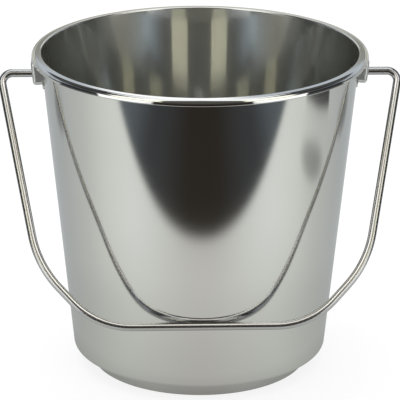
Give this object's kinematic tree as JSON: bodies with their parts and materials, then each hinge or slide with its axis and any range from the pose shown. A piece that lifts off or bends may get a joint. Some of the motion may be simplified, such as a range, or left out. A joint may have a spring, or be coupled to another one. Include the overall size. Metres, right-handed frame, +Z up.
{
  "type": "feed bucket",
  "caption": "Tapered open pail of bright steel sheet with a rolled rim, a foot ring and a swinging wire bail, for carrying and giving feed or water.",
  "frame": {"origin": "centre of the pail's footprint, on the plane that it stands on", "axes": "+Z up the pail's own axis, +X along the line that the bail turns on; at rest the bail hangs on the -Y side"},
  "size_m": [0.344, 0.2872, 0.2794],
  "materials": {
    "polished_steel": "drawn stainless sheet, mirror polished outside with faint vertical polishing lines",
    "foot_steel": "satin stainless band",
    "ear_steel": "pressed stainless box with rounded edges, lightly polished",
    "bail_wire": "bright drawn stainless wire"
  },
  "bodies": {
    "pail": {"bucket_shell": "polished_steel", "foot_ring": "foot_steel", "left_ear": "ear_steel", "right_ear": "ear_steel"},
    "bail": {"bail": "bail_wire"}
  },
  "joints": [
    {"name": "bail_swing", "type": "hinge", "parent": "pail", "child": "bail", "pos_m": [0, 0, 0.2598], "axis": [-1, 0, 0], "range_deg": [0, 294.2]}
  ]
}
